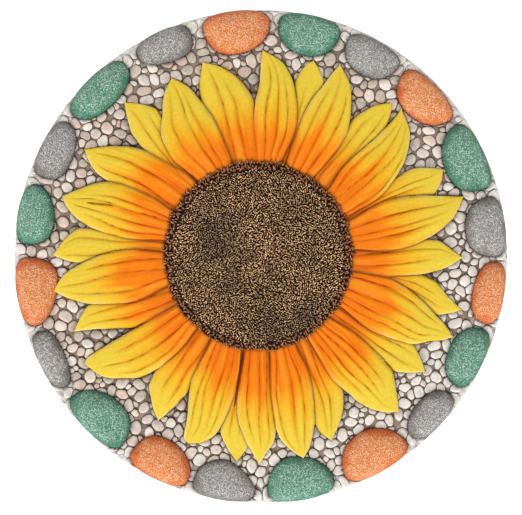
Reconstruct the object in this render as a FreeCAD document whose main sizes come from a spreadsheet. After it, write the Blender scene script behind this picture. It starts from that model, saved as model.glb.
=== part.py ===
"""Garden stepping stone, cast in one piece and painted.

A round slab carries a sunflower in relief: a domed seed head, three overlapping layers of
ribbed petals, and a ring of rounded pebbles set flush with the rim. All of it is one casting,
so the document ends in one fused solid.

Frame: millimetres, +Z up, origin at the centre of the flat underside.
"""

import FreeCAD, Part
import Sketcher

import math
import os
from collections import namedtuple

# Driving dimensions, in millimetres and degrees. A rise is a height above the pebbly bed.
SIZES = {
    "stone_diameter": 254.0,
    "wall_draft": 2.0,
    "bed_height": 15.0,
    "rim_chamfer": 1.5,
    "seed_diameter": 98.0,
    "seed_off_centre": 1.4,
    "seed_edge_rise": 6.0,
    "seed_crown_rise": 10.0,
    "seed_bevel": 2.0,
    "seed_ring_width": 5.0,
    "seed_groove_width": 1.8,
    "seed_groove_depth": 0.8,
    "seed_embed": 4.0,
    "petal_length": 56.0,
    "petal_width": 24.0,
    "petal_rise": 4.6,
    "petal_tip_rise": 1.6,
    "petal_tip_width": 1.6,
    "petal_crown": 1.2,
    "petal_groove": 0.9,
    "petal_root_overlap": 4.0,
    "petal_embed": 2.0,
    "pebble_length": 33.0,
    "pebble_depth": 22.0,
    "pebble_rise": 6.0,
    "pebble_overhang": 1.5,
    "pebble_inset": 0.3,
    "pebble_embed": 3.0,
}

# One petal. Angles are in degrees about +Z from +X. length, root and belly are shares of
# petal_length and petal_width, belly_at is a share of the petal's own length, fullness bends
# the outline between belly and tip, and layer runs from 0, under its neighbours, to 2.
Petal = namedtuple(
    "Petal",
    "tip_angle length root_angle root belly_angle belly_at belly fullness layer",
)
PETALS = [
    Petal(106.5, 0.99, 102.5, 0.46, 102.1, 0.56, 1.09, 2.3, 1),
    Petal(89.5, 1.01, 87.0, 0.69, 84.0, 0.41, 1.05, 3.3, 2),
    Petal(75.5, 0.98, 76.0, 0.33, 74.7, 0.65, 0.71, 2.2, 0),
    Petal(67.8, 1.03, 65.6, 0.68, 64.2, 0.43, 1.00, 2.7, 2),
    Petal(49.6, 0.97, 51.0, 0.38, 50.5, 0.57, 0.71, 2.2, 0),
    Petal(46.3, 1.01, 35.5, 0.78, 37.2, 0.37, 1.05, 2.9, 2),
    Petal(25.9, 0.98, 24.0, 0.33, 25.2, 0.63, 0.70, 2.3, 0),
    Petal(16.3, 1.05, 12.8, 0.71, 13.8, 0.37, 1.11, 2.4, 2),
    Petal(0.0, 0.97, -2.9, 0.43, 0.0, 0.57, 0.76, 2.5, 1),
    Petal(-14.5, 1.04, -8.5, 0.33, -13.0, 0.62, 0.80, 2.3, 0),
    Petal(-22.9, 1.02, -20.0, 0.80, -21.8, 0.37, 1.19, 2.1, 2),
    Petal(-35.3, 0.98, -36.5, 0.38, -35.5, 0.65, 0.74, 2.2, 0),
    Petal(-48.5, 1.04, -50.6, 0.70, -49.3, 0.47, 1.09, 2.3, 2),
    Petal(-68.9, 0.93, -63.5, 0.38, -65.6, 0.60, 0.85, 2.4, 0),
    Petal(-78.0, 1.01, -76.8, 0.62, -76.9, 0.40, 0.94, 2.3, 2),
    Petal(-90.3, 1.03, -94.0, 0.42, -91.5, 0.62, 0.80, 1.9, 1),
    Petal(-96.7, 1.02, -100.2, 0.21, -98.7, 0.72, 0.62, 2.1, 0),
    Petal(-111.3, 0.97, -111.1, 0.70, -110.0, 0.41, 0.98, 3.2, 2),
    Petal(-122.0, 0.91, -126.0, 0.38, -125.8, 0.61, 0.82, 2.3, 1),
    Petal(-148.5, 1.01, -140.8, 0.68, -141.3, 0.48, 1.00, 2.9, 2),
    Petal(-158.6, 0.97, -156.2, 0.42, -158.3, 0.55, 0.74, 2.2, 1),
    Petal(-170.5, 1.05, -172.7, 0.76, -171.9, 0.37, 1.15, 2.7, 2),
    Petal(-180.6, 1.02, -185.5, 0.25, -183.7, 0.69, 0.79, 2.5, 0),
    Petal(-196.5, 1.02, -198.4, 0.65, -198.0, 0.50, 1.13, 2.1, 2),
    Petal(-211.4, 1.01, -217.0, 0.69, -214.6, 0.55, 0.96, 2.3, 1),
    Petal(-228.4, 1.02, -227.5, 0.25, -229.0, 0.65, 0.79, 2.6, 0),
    Petal(-243.6, 0.97, -241.7, 0.81, -240.0, 0.40, 1.20, 1.9, 2),
]

# One rim pebble: its direction, and its length along the rim and depth from the rim as shares
# of pebble_length and pebble_depth.
Pebble = namedtuple("Pebble", "angle length depth")
PEBBLES = [
    Pebble(96.2, 1.06, 1.03),
    Pebble(78.1, 0.97, 0.98),
    Pebble(61.2, 0.89, 0.93),
    Pebble(44.0, 1.03, 1.00),
    Pebble(25.3, 1.08, 1.05),
    Pebble(7.4, 0.91, 1.00),
    Pebble(-8.9, 0.98, 0.77),
    Pebble(-25.8, 0.96, 0.90),
    Pebble(-42.9, 0.90, 0.80),
    Pebble(-60.4, 1.10, 1.07),
    Pebble(-80.2, 1.05, 1.06),
    Pebble(-99.5, 0.96, 0.95),
    Pebble(-116.0, 1.02, 1.00),
    Pebble(-134.9, 1.10, 1.03),
    Pebble(-154.0, 0.96, 0.69),
    Pebble(-171.3, 1.07, 0.93),
    Pebble(-190.4, 0.94, 0.91),
    Pebble(-207.4, 0.94, 0.83),
    Pebble(-225.9, 1.13, 0.82),
    Pebble(-245.4, 0.93, 0.77),
]

# How high each layer stands, as a share of the top layer, and how the rise runs along a petal.
LAYER_SHARE = [0.45, 0.72, 1.0]
TIP_LAYER_SHARE = [0.7, 0.85, 1.0]
ROOT_RISE_SHARE = 0.92
SHOULDER_RISE_SHARE = 0.85
SHOULDER_AT = 0.62
# Where the two ribs run, as a share of a petal's width from its middle.
RIB_AT = 0.24

# Where the dome's turned section has a corner between its edge and its crown, as a share of its radius.
DOME_BREAK = 0.6
# A pebble's cross-sections, each with its place along the pebble's half length and its scale,
# and the corners of its rounded top as shares of half depth and rise.
PEBBLE_STATIONS = [
    ("end", 1.0, 0.3),
    ("turn", 0.88, 0.6),
    ("flank", 0.56, 0.88),
    ("middle", 0.0, 1.0),
    ("far_flank", -0.56, 0.88),
    ("far_turn", -0.88, 0.6),
    ("far_end", -1.0, 0.3),
]
PEBBLE_ROUND = [(1.0, 0.2), (0.8, 0.74), (0.34, 1.0)]

doc = FreeCAD.newDocument("stepping_stone")
sheet = doc.addObject("Spreadsheet::Sheet", "sizes")
for row, (alias, value) in enumerate(SIZES.items(), start=1):
    sheet.set(f"A{row}", alias)
    sheet.set(f"B{row}", str(value))
    sheet.setAlias(f"B{row}", alias)
doc.recompute()


def size(alias):
    """A driving dimension as the sheet holds it."""
    return float(sheet.get(alias))


def new_sketch(body, name, role):
    """An empty sketch on one of the body's own origin planes."""
    plane = next(f for f in body.Origin.OriginFeatures if f.Role == role)
    sketch = body.newObject("Sketcher::SketchObject", name)
    sketch.AttachmentSupport = [(plane, "")]
    sketch.MapMode = "FlatFace"
    return sketch


def value_of(expression):
    """An expression of driving dimensions, worked out."""
    return float(sheet.evalExpression(expression))


def fill_polygon(sketch, corners):
    """Adds a closed polygon whose corners are dimensioned from the origin by expressions."""
    points = [FreeCAD.Vector(value_of(x), value_of(y), 0) for x, y in corners]
    count = len(points)
    sketch.addGeometry(
        [Part.LineSegment(points[i], points[(i + 1) % count]) for i in range(count)], False
    )
    constraints = [
        Sketcher.Constraint("Coincident", i, 2, (i + 1) % count, 1) for i in range(count)
    ]
    expressions = {}
    for corner, (place, (x, y)) in enumerate(zip(points, corners)):
        for axis, line, value, expression in (
            ("DistanceX", -2, place.x, x),
            ("DistanceY", -1, place.y, y),
        ):
            if abs(value) < 1e-9:
                constraints.append(Sketcher.Constraint("PointOnObject", corner, 1, line))
                continue
            if value > 0:
                constraint = Sketcher.Constraint(axis, -1, 1, corner, 1, value)
            else:
                constraint = Sketcher.Constraint(axis, corner, 1, -1, 1, -value)
                expression = f"-({expression})"
            expressions[len(constraints)] = expression
            constraints.append(constraint)
    sketch.addConstraint(constraints)
    for index, expression in expressions.items():
        sketch.setExpression(f"Constraints[{index}]", expression)


def revolve(body, sketch, name):
    """Turns a sketch about its own vertical axis."""
    feature = body.newObject("PartDesign::Revolution", name)
    feature.Profile = sketch
    feature.ReferenceAxis = (sketch, ["V_Axis"])
    feature.Angle = 360.0
    doc.recompute()
    return feature


def loft(body, sketches, ruled=False):
    """Lofts a body through its sketches, straight from one to the next where it is ruled."""
    feature = body.newObject("PartDesign::AdditiveLoft", f"{body.Name}_loft")
    feature.Profile = sketches[0]
    feature.Sections = sketches[1:]
    feature.Ruled = ruled
    return feature


def ring_edge(feature, height):
    """The name of the circular edge of a turned feature at a height."""
    for index, edge in enumerate(feature.Shape.Edges, start=1):
        box = edge.BoundBox
        if abs(box.ZMin - height) < 1e-6 and abs(box.ZMax - height) < 1e-6 and edge.isClosed():
            return f"Edge{index}"
    raise ValueError(f"no ring edge at height {height}")


def make_slab():
    """The round slab: a turned section with drafted wall and chamfered rim."""
    body = doc.addObject("PartDesign::Body", "slab")
    sketch = new_sketch(body, "slab_section", "XZ_Plane")
    radius = "sizes.stone_diameter / 2"
    corners = [
        ("0", "0"),
        (radius, "0"),
        (f"{radius} - sizes.bed_height * tan(sizes.wall_draft * 1 deg)", "sizes.bed_height"),
        ("0", "sizes.bed_height"),
    ]
    fill_polygon(sketch, corners)
    turned = revolve(body, sketch, "slab_turned")
    rim = body.newObject("PartDesign::Chamfer", "slab_rim")
    rim.Base = (turned, [ring_edge(turned, size("bed_height"))])
    rim.setExpression("Size", "sizes.rim_chamfer")
    doc.recompute()
    return body


def make_seed_head():
    """The domed seed head, a little off the stone's centre: a turned drum with a bevelled edge and a
    groove that sets the ring of buds round it off from the middle."""
    body = doc.addObject("PartDesign::Body", "seed_head")
    edge = "(sizes.bed_height + sizes.seed_edge_rise)"
    crown = "(sizes.bed_height + sizes.seed_crown_rise)"
    radius = "(sizes.seed_diameter / 2)"
    bottom = "(sizes.bed_height - sizes.seed_embed)"
    inner = f"({radius} - sizes.seed_bevel)"
    cap = f"({crown} - {edge})"
    dome = f"(({inner}^2 + {cap}^2) / (2 * {cap}))"

    def on_dome(distance, sunk="0"):
        return distance, f"{crown} - {dome} + sqrt({dome}^2 - ({distance})^2) - {sunk}"

    groove = f"({radius} - sizes.seed_ring_width)"
    half_groove = "sizes.seed_groove_width / 2"
    corners = [
        ("0", bottom),
        (radius, bottom),
        (radius, f"{edge} - sizes.seed_bevel"),
        on_dome(inner),
        on_dome(f"({groove} + {half_groove})"),
        on_dome(groove, "sizes.seed_groove_depth"),
        on_dome(f"({groove} - {half_groove})"),
        on_dome(f"({inner} * {DOME_BREAK})"),
        ("0", crown),
    ]
    sketch = new_sketch(body, "seed_section", "XZ_Plane")
    fill_polygon(sketch, corners)
    revolve(body, sketch, "seed_turned")
    body.setExpression(".Placement.Base.x", "-sizes.seed_off_centre")
    return body


# One cross-section of a petal: where its middle lies along and across the petal, its width as a
# share of petal_width and the rise of its edges, each as an expression.
Station = namedtuple("Station", "name along across share rise")


def petal_stations(petal):
    """The cross-sections of a petal from its root under the seed head to its tip."""
    seed_radius = "sizes.seed_diameter / 2"
    root_turn = math.radians(petal.root_angle - petal.tip_angle)
    belly_turn = math.radians(petal.belly_angle - petal.tip_angle)
    reach = f"({seed_radius} + sizes.petal_length * {petal.length})"
    belly_radius = f"({seed_radius} + sizes.petal_length * {petal.length * petal.belly_at:.5f})"
    belly_along = f"{belly_radius} * {math.cos(belly_turn):.5f}"
    belly_across = f"{belly_radius} * {math.sin(belly_turn):.5f}"
    narrowing = 1 - SHOULDER_AT**petal.fullness
    rise = f"sizes.petal_rise * {LAYER_SHARE[petal.layer]}"
    return [
        Station(
            "root",
            f"({seed_radius} - sizes.petal_root_overlap) * {math.cos(root_turn):.5f}",
            f"{seed_radius} * {math.sin(root_turn):.5f}",
            f"{petal.root}",
            f"{rise} * {ROOT_RISE_SHARE}",
        ),
        Station("belly", belly_along, belly_across, f"{petal.belly}", rise),
        Station(
            "shoulder",
            f"{belly_along} * {1 - SHOULDER_AT:.5f} + {reach} * {SHOULDER_AT}",
            f"{belly_across} * {narrowing:.5f}",
            f"{petal.belly * narrowing:.5f}",
            f"{rise} * {SHOULDER_RISE_SHARE}",
        ),
        Station(
            "tip",
            reach,
            "0",
            "sizes.petal_tip_width / sizes.petal_width",
            f"sizes.petal_tip_rise * {TIP_LAYER_SHARE[petal.layer]}",
        ),
    ]


def section_sketch(body, name, role, across, along, corners):
    """A polygon on a plane parallel to an origin plane, shifted across and along its normal."""
    sketch = new_sketch(body, f"{body.Name}_{name}", role)
    sketch.setExpression(".AttachmentOffset.Base.x", across)
    sketch.setExpression(".AttachmentOffset.Base.z", along)
    fill_polygon(sketch, corners)
    return sketch


def petal_section(body, station):
    """A petal's cross-section: upright sides and two ribs with a groove between them."""
    half = f"sizes.petal_width * {station.share} / 2"
    rib = f"sizes.petal_width * {station.share} * {RIB_AT}"
    bottom = "sizes.bed_height - sizes.petal_embed"
    edge = f"sizes.bed_height + {station.rise}"
    top = f"{edge} + sizes.petal_crown * {station.share}"
    dip = f"{top} - sizes.petal_groove * {station.share}"
    corners = [
        (f"-({half})", bottom),
        (half, bottom),
        (half, edge),
        (rib, top),
        ("0", dip),
        (f"-({rib})", top),
        (f"-({half})", edge),
    ]
    return section_sketch(body, station.name, "YZ_Plane", station.across, station.along, corners)


def turned_to(angle):
    return FreeCAD.Placement(FreeCAD.Vector(), FreeCAD.Rotation(FreeCAD.Vector(0, 0, 1), angle))


def make_petal(number, petal):
    """A petal lofted along its own +X and turned to its direction."""
    body = doc.addObject("PartDesign::Body", f"petal_{number:02d}")
    loft(body, [petal_section(body, station) for station in petal_stations(petal)])
    body.Placement = turned_to(petal.tip_angle)
    return body


def make_pebble(number, pebble):
    """A rim pebble: rounded cross-sections lofted along the rim, from one end to the other."""
    body = doc.addObject("PartDesign::Body", f"pebble_{number:02d}")
    depth = f"(sizes.pebble_depth * {pebble.depth} + sizes.pebble_overhang)"
    half_length = f"sizes.pebble_length * {pebble.length} / 2"
    bottom = "sizes.bed_height - sizes.pebble_embed"
    sketches = []
    for name, along, scale in PEBBLE_STATIONS:
        half_depth = f"{depth} * {scale} / 2"
        upper = [
            (f"{half_depth} * {out}", f"sizes.bed_height + sizes.pebble_rise * {up * scale:.4f}")
            for out, up in PEBBLE_ROUND
        ]
        right = [(half_depth, bottom), *upper]
        left = [(f"-({x})", y) for x, y in reversed(right)]
        offset = f"-{half_length} * {along}"
        sketches.append(section_sketch(body, name, "XZ_Plane", "0", offset, right + left))
    loft(body, sketches, ruled=True)
    out = f"(sizes.stone_diameter / 2 + sizes.pebble_overhang - {depth} / 2)"
    turn = math.radians(pebble.angle)
    body.Placement = turned_to(pebble.angle)
    body.setExpression(".Placement.Base.x", f"{out} * {math.cos(turn):.5f}")
    body.setExpression(".Placement.Base.y", f"{out} * {math.sin(turn):.5f}")
    return body


def make_rim_pebbles():
    """The ring of pebbles, trimmed flush with the wall by a cone that carries the wall on up."""
    ring = doc.addObject("Part::MultiFuse", "pebble_ring")
    ring.Shapes = [make_pebble(number, pebble) for number, pebble in enumerate(PEBBLES, start=1)]
    wall = doc.addObject("Part::Cone", "rim_trim")
    top = "(sizes.bed_height + 2 * sizes.pebble_rise)"
    foot_radius = "sizes.stone_diameter / 2 - sizes.pebble_inset"
    wall.setExpression("Height", top)
    wall.setExpression("Radius1", foot_radius)
    wall.setExpression("Radius2", f"{foot_radius} - {top} * tan(sizes.wall_draft * 1 deg)")
    trimmed = doc.addObject("Part::Common", "rim_pebbles")
    trimmed.Base = ring
    trimmed.Tool = wall
    return trimmed


slab = make_slab()
seed_head = make_seed_head()
petals = [make_petal(number, petal) for number, petal in enumerate(PETALS, start=1)]
rim_pebbles = make_rim_pebbles()
doc.recompute()

stone = doc.addObject("Part::MultiFuse", "stepping_stone")
stone.Label = "stepping_stone"
stone.Shapes = [slab, seed_head, *petals, rim_pebbles]
doc.recompute()

failed = [item.Name for item in doc.Objects if {"Invalid", "Error"} & set(item.State)]
if failed:
    raise RuntimeError(f"failed objects: {failed}")
shape = stone.Shape
if shape.isNull() or not shape.isValid() or len(shape.Solids) != 1:
    raise RuntimeError("the stone is not one valid solid")

os.makedirs("parts", exist_ok=True)
shape.Solids[0].exportStep(f"parts/{stone.Label}.step")
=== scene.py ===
"""Garden stepping stone: a round cast slab with a painted sunflower in relief, a bed of small pebbles
between the petals and twenty painted rim pebbles. Lengths are millimetres and angles degrees, counted
counter-clockwise from +X round the centre of the stone, until a mesh is made in metres."""
import math
from collections import namedtuple

import bpy
import numpy as np
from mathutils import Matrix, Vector, kdtree


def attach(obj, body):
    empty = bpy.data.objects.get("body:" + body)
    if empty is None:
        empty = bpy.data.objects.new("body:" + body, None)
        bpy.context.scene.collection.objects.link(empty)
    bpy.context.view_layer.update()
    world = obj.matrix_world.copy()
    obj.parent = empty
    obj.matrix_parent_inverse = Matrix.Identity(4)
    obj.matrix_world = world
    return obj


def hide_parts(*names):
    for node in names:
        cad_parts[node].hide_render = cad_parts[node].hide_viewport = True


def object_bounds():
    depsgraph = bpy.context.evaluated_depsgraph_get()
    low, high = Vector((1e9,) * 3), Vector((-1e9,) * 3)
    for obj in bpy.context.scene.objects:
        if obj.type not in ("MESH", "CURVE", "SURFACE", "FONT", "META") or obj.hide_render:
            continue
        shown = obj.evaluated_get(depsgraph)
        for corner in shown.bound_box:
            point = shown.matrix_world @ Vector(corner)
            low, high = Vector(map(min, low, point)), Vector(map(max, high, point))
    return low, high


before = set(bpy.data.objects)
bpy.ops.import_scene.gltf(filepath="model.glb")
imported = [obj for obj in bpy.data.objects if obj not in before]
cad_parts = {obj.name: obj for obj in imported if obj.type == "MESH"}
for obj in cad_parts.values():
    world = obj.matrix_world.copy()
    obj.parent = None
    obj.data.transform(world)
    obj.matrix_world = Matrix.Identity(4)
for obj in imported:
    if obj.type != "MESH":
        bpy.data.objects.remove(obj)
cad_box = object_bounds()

MM = 0.001
NODE = "stepping_stone"

# Sizes that several shapes are worked out from. A rise is a height above the bed.
STONE_RADIUS = (cad_box[1][0] - cad_box[0][0]) / 2 / MM
FACE_RADIUS = STONE_RADIUS - 0.15
FOOT_CHAMFER = 0.7
BED = 15.0
MORTAR_SINK = 0.6
SEED_X = -1.4
SEED_Y = 0.2
SEED_RADIUS = 48.0
PETAL_ROOT = 43.0

# Layers of petals, from under their neighbours to on top
BACK, MID, LOW_FRONT, FRONT = 0, 1, 1.7, 2
LAYERS = [BACK, MID, FRONT]

# Each petal has a layer, a tip and two edges from root to tip, as (angle, radius) points.
Petal = namedtuple("Petal", "layer tip left right")
PETALS = [Petal(*row) for row in [
    (FRONT, (89.5, 105.7), [(92.5, 50), (93.0, 65), (92.1, 79), (90.4, 90), (90.0, 99)],
     [(77.7, 50), (74.4, 65), (75.6, 75), (79.0, 89.4), (83.3, 99.4)]),
    (BACK, (75.0, 104.1), [(76, 60), (78, 78), (78.8, 91), (76.5, 101.6)],
     [(73, 60), (71, 78), (70, 93), (73.3, 101.6)]),
    (FRONT, (67.7, 106.6), [(75, 50), (74.4, 63.7), (72.9, 79.4), (69.8, 94.4)],
     [(56.3, 49.4), (54.4, 66), (55.2, 76.6), (57.9, 86.6), (62.5, 98.7)]),
    (BACK, (49.6, 103.7), [(55, 50), (56.5, 72), (56, 85), (53.3, 96)],
     [(47, 50), (45, 70), (45, 86), (47.9, 99.4)]),
    (FRONT, (46.5, 104.4), [(45.4, 50), (47.5, 62), (46, 88), (46, 99.4)],
     [(24.8, 51), (26.3, 66), (30, 78.7), (33.8, 88.7), (40, 99.4)]),
    (BACK, (25.5, 103.4), [(27, 60), (30, 76), (30.4, 86), (27.3, 99.4)],
     [(23, 60), (20, 78), (19.3, 91), (22.7, 100.5)]),
    (FRONT, (16.5, 108.0), [(22.5, 51.6), (24.4, 66), (22.9, 78.7), (19.6, 93), (17.5, 103)],
     [(3.8, 49.4), (2.3, 62), (3.5, 74.4), (6.7, 87.3), (10.8, 99.4), (13.8, 104.4)]),
    (MID, (-0.2, 103.4), [(3.5, 50), (6.5, 78), (5.4, 90), (1.3, 99.4)],
     [(-9, 52), (-8.5, 66), (-6, 84.4), (-3.3, 95)]),
    (BACK, (-14.8, 106.6), [(-7.5, 60), (-6, 78), (-7.5, 88.7), (-11.7, 97.3)],
     [(-11, 60), (-16, 78), (-18.6, 92), (-16.3, 102.3)]),
    (FRONT, (-22.7, 106.4), [(-9.2, 50), (-9.4, 64), (-12.5, 78), (-17.5, 91.6), (-20.8, 101.6)],
     [(-32.5, 50), (-34, 63.7), (-32.5, 76.6), (-29.8, 89.8), (-26.3, 97.3), (-24.6, 102.3)]),
    (BACK, (-35.0, 103.0), [(-34, 60), (-30.5, 76), (-29.7, 88), (-32, 96)],
     [(-38, 60), (-41, 76), (-40.8, 88), (-38.3, 96)]),
    (FRONT, (-48.3, 105.9), [(-41.3, 48), (-39, 62), (-39.6, 75), (-40.8, 88), (-44.6, 97.3)],
     [(-60.2, 50), (-60, 68.7), (-57.9, 80.5), (-55.4, 92.3), (-50.8, 103)]),
    (BACK, (-69.0, 101.0), [(-60, 50), (-58.1, 78), (-61.3, 88), (-65.8, 96)],
     [(-67, 50), (-71, 66), (-72.4, 84), (-71.5, 94.4)]),
    (FRONT, (-78.1, 105.3), [(-68.3, 50), (-67.3, 62.3), (-69.2, 75), (-72.1, 89.4), (-75.8, 101)],
     [(-85, 50), (-86, 68), (-85.6, 79.6), (-84.4, 92), (-80.4, 101.6)]),
    (LOW_FRONT, (-90.4, 106.0), [(-84, 50), (-84.8, 86), (-85.6, 93), (-88.8, 101.6)],
     [(-99.6, 50), (-99.6, 68.7), (-98.5, 81.6), (-95.4, 92.3), (-92.1, 101.6)]),
    (BACK, (-96.8, 105.9), [(-97, 60), (-94, 80), (-93.9, 96), (-95.6, 103)],
     [(-101, 60), (-103.5, 80), (-103.2, 91), (-100.4, 98.7)]),
    (FRONT, (-111.2, 102.6), [(-101.7, 48.7), (-100.4, 59.4), (-101.5, 78), (-104.2, 93), (-107.9, 100)],
     [(-120.8, 50), (-119.6, 71), (-116.7, 83), (-114.2, 92.5), (-113, 100.8)]),
    (MID, (-122.1, 99.1), [(-120.8, 50), (-118.4, 76), (-120.2, 90)],
     [(-131.2, 50), (-132.9, 76), (-131.7, 85), (-127.1, 93)]),
    (FRONT, (-148.8, 105.5),
     [(-131.3, 50), (-130.6, 60), (-132.5, 76.6), (-134.6, 86), (-138.8, 94.4), (-142.9, 101.6)],
     [(-150.5, 50), (-150.3, 74.4), (-150.2, 93.7), (-149.8, 102)]),
    (MID, (-158.2, 103.0), [(-150.4, 50), (-150.6, 72.3), (-153.3, 81.6), (-156.5, 93.7)],
     [(-162, 50), (-165, 80), (-164.4, 91), (-160.4, 99.4)]),
    (FRONT, (-170.6, 107.8), [(-162.1, 50), (-160.2, 65), (-162.5, 81), (-164.8, 91.6), (-167.5, 100)],
     [(-182.9, 51), (-183.5, 63), (-181.3, 78.7), (-177.7, 92.3), (-174.6, 101.6)]),
    (BACK, (-180.5, 106.6), [(-183, 60), (-178, 80), (-178, 91), (-179.6, 103.7)],
     [(-188, 60), (-189.4, 84), (-189, 93.5), (-185.8, 100)]),
    (FRONT, (-196.9, 106.2), [(-189.6, 50), (-187.7, 66), (-189, 83), (-191.3, 95), (-195, 103.7)],
     [(-207.3, 49.4), (-208.8, 63), (-207.7, 79.4), (-204.8, 90.8), (-200.8, 98.7)]),
    (MID, (-211.3, 105.9), [(-207.6, 50), (-206, 80), (-206.5, 91), (-209.6, 102.3)],
     [(-225.6, 50), (-224.6, 68), (-222.3, 81), (-218.3, 91.6), (-213.3, 101.6)]),
    (BACK, (-228.5, 105.7), [(-224, 60), (-222.4, 78), (-223.5, 90), (-227.3, 102.3)],
     [(-230, 60), (-234.5, 80), (-234.7, 92), (-230.8, 101.6)]),
    (FRONT, (-243.5, 102.3), [(-230, 53), (-227.7, 65), (-230, 78.7), (-235.4, 88.7), (-239.6, 97.3)],
     [(-253.3, 50), (-251.3, 73.7), (-249.2, 84), (-246.7, 95)]),
    (MID, (-253.3, 104.1), [(-251, 50), (-249, 83), (-249.6, 90), (-251.2, 96.6)],
     [(-266, 50), (-267.5, 78), (-265, 87.3), (-258.7, 98.7)]),
]]

# Each rim pebble has a colour, its two ends, the angle and radius of its inmost point, its outer
# radius, and how full its inner side is towards the start and the end: 2 is an ellipse, less is
# straighter.
RimPebble = namedtuple("RimPebble", "colour start end inner_angle inner outer start_fill end_fill",
                       defaults=(2.2, 2.2))
RIM_PEBBLES = [RimPebble(*row) for row in [
    ("orange", 104.4, 87.7, 97.1, 104.4, 127.5),
    ("green", 85.7, 70.3, 77.9, 105.5, 127.2),
    ("grey", 68.3, 54.0, 61.3, 106.6, 126.0),
    ("orange", 52.2, 35.8, 44.6, 105.1, 125.7),
    ("green", 34.1, 16.8, 24.2, 104.4, 126.7),
    ("grey", 14.9, -0.1, 6.7, 105.5, 127.0),
    ("orange", -1.2, -16.7, -9.6, 110.0, 127.0),
    ("green", -18.1, -33.5, -25.4, 107.3, 126.8),
    ("grey", -36.0, -50.0, -42.5, 110.1, 126.8),
    ("orange", -51.7, -69.1, -60.4, 103.6, 127.2, 1.9),
    ("green", -71.8, -88.5, -81.7, 103.7, 127.4, 2.2, 1.8),
    ("grey", -91.3, -106.9, -99.2, 105.9, 127.2, 1.45),
    ("orange", -107.9, -123.6, -117.1, 105.0, 127.0),
    ("green", -126.3, -143.5, -133.8, 104.2, 126.7),
    ("grey", -146.3, -161.3, -155.0, 112.3, 126.8),
    ("orange", -162.8, -179.9, -174.4, 104.4, 127.8, 1.9, 1.75),
    ("green", -183.0, -197.9, -189.2, 107.3, 127.4, 2.2, 1.9),
    ("grey", -200.0, -214.8, -205.8, 108.7, 127.0),
    ("green", -217.0, -234.9, -225.8, 108.9, 127.6),
    ("grey", -238.3, -252.7, -247.0, 109.8, 127.7),
]]


# Small helpers

LATTICE = 64
SEED_LIMIT = 1e6

# Noise in patches over the face: the size of a patch, the shift of its lattice and its seed
Patches = namedtuple("Patches", "size shift seed")


def paint(red, green, blue):
    """An 8-bit sRGB colour as linear light."""
    c = np.array([red, green, blue]) / 255.0
    return np.where(c <= 0.04045, c / 12.92, ((c + 0.055) / 1.055) ** 2.4)


def smoothstep(low, high, x):
    t = np.clip((x - low) / (high - low), 0.0, 1.0)
    return t * t * (3.0 - 2.0 * t)


def mix(a, b, share):
    """Colours a and b mixed, share being one number or one for each row."""
    share = np.asarray(share, dtype=float)[..., None]
    return a * (1.0 - share) + b * share


def polar(angle, radius):
    """x and y of points at these angles and radii."""
    turn = np.radians(angle)
    return radius * np.cos(turn), radius * np.sin(turn)


def wrapped(angle):
    """The same angle between -180 and 180."""
    return (angle + 180.0) % 360.0 - 180.0


def turn_degrees(count):
    return np.arange(count) * 360.0 / count


def turn_radians(count):
    return np.arange(count) * 2 * math.pi / count


def noise(x, y, seed):
    """Smooth value noise from 0 to 1 with a lattice of one unit."""
    table = np.random.default_rng(seed).random((LATTICE, LATTICE))
    left = np.floor(x).astype(int)
    below = np.floor(y).astype(int)
    tx = smoothstep(0.0, 1.0, x - left)
    ty = smoothstep(0.0, 1.0, y - below)
    x0, x1 = left % LATTICE, (left + 1) % LATTICE
    y0, y1 = below % LATTICE, (below + 1) % LATTICE
    low = table[x0, y0] * (1 - tx) + table[x1, y0] * tx
    high = table[x0, y1] * (1 - tx) + table[x1, y1] * tx
    return low * (1 - ty) + high * ty


def patchy(patches, x, y, index=0):
    """Noise in patches, different for each index."""
    return noise(x / patches.size + patches.shift, y / patches.size + patches.shift, patches.seed + index)


def smooth_through(points, x):
    """A cubic curve through the points, with no overshoot, held level beyond its ends."""
    xs, ys = np.array(points, dtype=float).T
    step = np.diff(xs)
    slope = np.diff(ys) / step
    tangent = np.zeros_like(ys)
    tangent[0], tangent[-1] = slope[0], slope[-1]
    for i in range(1, len(ys) - 1):
        if slope[i - 1] * slope[i] > 0:
            tangent[i] = 2 * slope[i - 1] * slope[i] / (slope[i - 1] + slope[i])
    i = np.clip(np.searchsorted(xs, x, side="right") - 1, 0, len(xs) - 2)
    t = np.clip((x - xs[i]) / step[i], 0.0, 1.0)
    rise = ys[i + 1] - ys[i]
    return (ys[i] + step[i] * tangent[i] * t * (1 - t) ** 2 + rise * t * t * (3 - 2 * t)
            - step[i] * tangent[i + 1] * t * t * (1 - t))


def nearest(points, queries):
    """Distance in the plane from each query to the nearest of the points."""
    tree = kdtree.KDTree(len(points))
    for i, (x, y) in enumerate(points):
        tree.insert((x, y, 0.0), i)
    tree.balance()
    return np.array([tree.find((x, y, 0.0))[2] for x, y in queries])


def placed(name, data):
    """A new object with this data in the scene."""
    made = bpy.data.objects.new(name, data)
    bpy.context.scene.collection.objects.link(made)
    return made


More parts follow.
